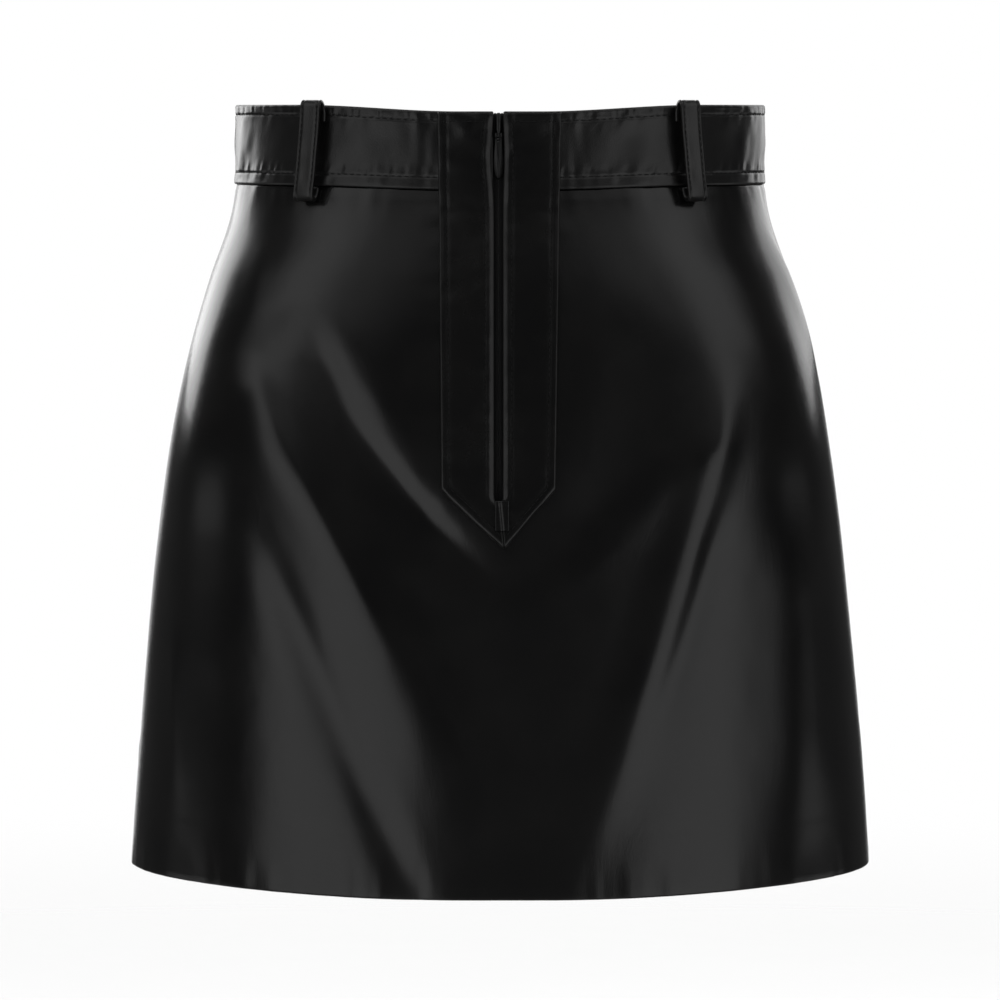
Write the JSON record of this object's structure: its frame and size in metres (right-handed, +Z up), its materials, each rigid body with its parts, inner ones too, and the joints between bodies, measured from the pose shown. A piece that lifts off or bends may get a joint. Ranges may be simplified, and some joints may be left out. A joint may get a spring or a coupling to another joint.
{
  "type": "leather mini skirt",
  "caption": "Worn, hollow A-line mini skirt in black leather, with a waistband, belt loops and a front zip between two pointed placket strips.",
  "frame": {"origin": "centre of the waistband's ring at half its height, where the wearer's waist holds it", "axes": "+Z up along the wearer, -Y towards the front with the zip, +X to the right of someone who looks at the front"},
  "size_m": [0.3632, 0.2663, 0.3769],
  "materials": {
    "leather": "black smooth leather with a semi-gloss dressed surface and a fine grain",
    "textile": "black woven zip tape and black sewing thread",
    "coil": "black moulded zip coil",
    "zip_metal": "black lacquered metal, satin"
  },
  "bodies": {
    "skirt": {"front_panel": "leather", "back_panel": "leather", "waistband_front_left": "leather", "waistband_front_right": "leather", "waistband_back": "leather", "placket_left": "leather", "placket_right": "leather", "placket_end_tab": "leather", "zip_tape_left": "textile", "zip_tape_right": "textile", "zip_coil": "coil", "zip_slider": "zip_metal", "belt_loop_front_left": "leather", "belt_loop_front_right": "leather", "belt_loop_back_left": "leather", "belt_loop_back_right": "leather", "belt_loop_back_centre": "leather"},
    "pull": {"zip_pull": "zip_metal"}
  },
  "joints": [
    {"name": "pull_swing", "type": "hinge", "parent": "skirt", "child": "pull", "pos_m": [-0.0007, -0.09769, 0.0053], "axis": [-1, 0, 0], "range_deg": [0, 150]}
  ]
}
